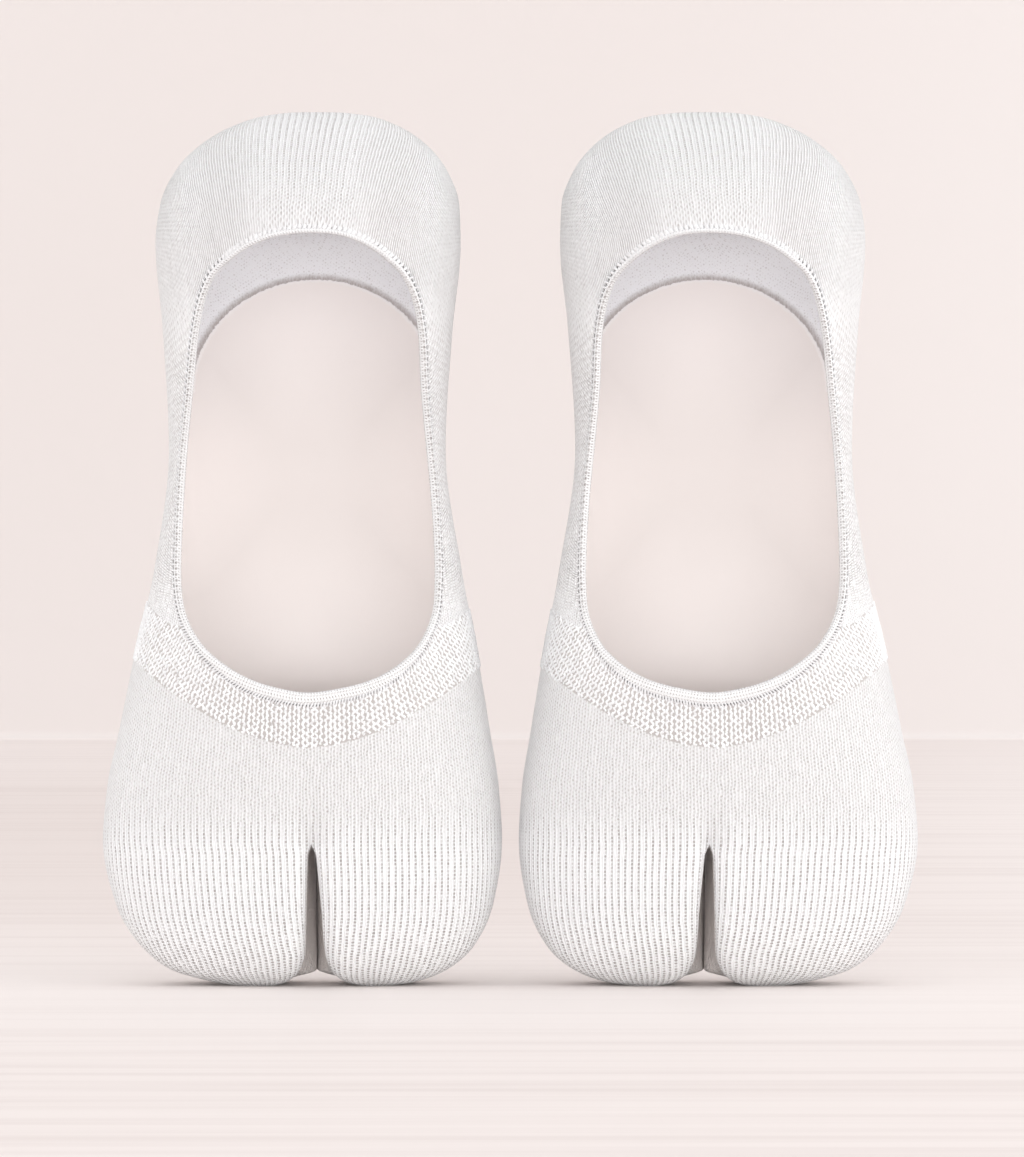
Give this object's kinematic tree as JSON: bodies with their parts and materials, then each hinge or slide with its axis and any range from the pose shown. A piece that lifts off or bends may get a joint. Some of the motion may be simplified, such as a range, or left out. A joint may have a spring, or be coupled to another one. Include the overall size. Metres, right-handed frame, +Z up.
{
  "type": "pair of split-toe foot-cover socks",
  "caption": "Pair of white knitted split-toe foot-cover socks with wide low-cut openings, filled out and standing upright side by side on their toe tips.",
  "frame": {"origin": "on the surface the socks stand on, midway between the two socks and midway in depth between the farthest front and back faces", "axes": "+Z up from the toes to the heels; -Y the side the openings face; +X towards the wearer's left sock"},
  "size_m": [0.2038, 0.0619, 0.2174],
  "materials": {
    "sock_knit": "matt plain cotton-blend knit",
    "sock_welt": "matt dense elastic welt"
  },
  "bodies": {
    "root": {"right_sock_knit": "sock_knit", "right_sock_welt": "sock_welt", "left_sock_knit": "sock_knit", "left_sock_welt": "sock_welt"}
  },
  "joints": []
}
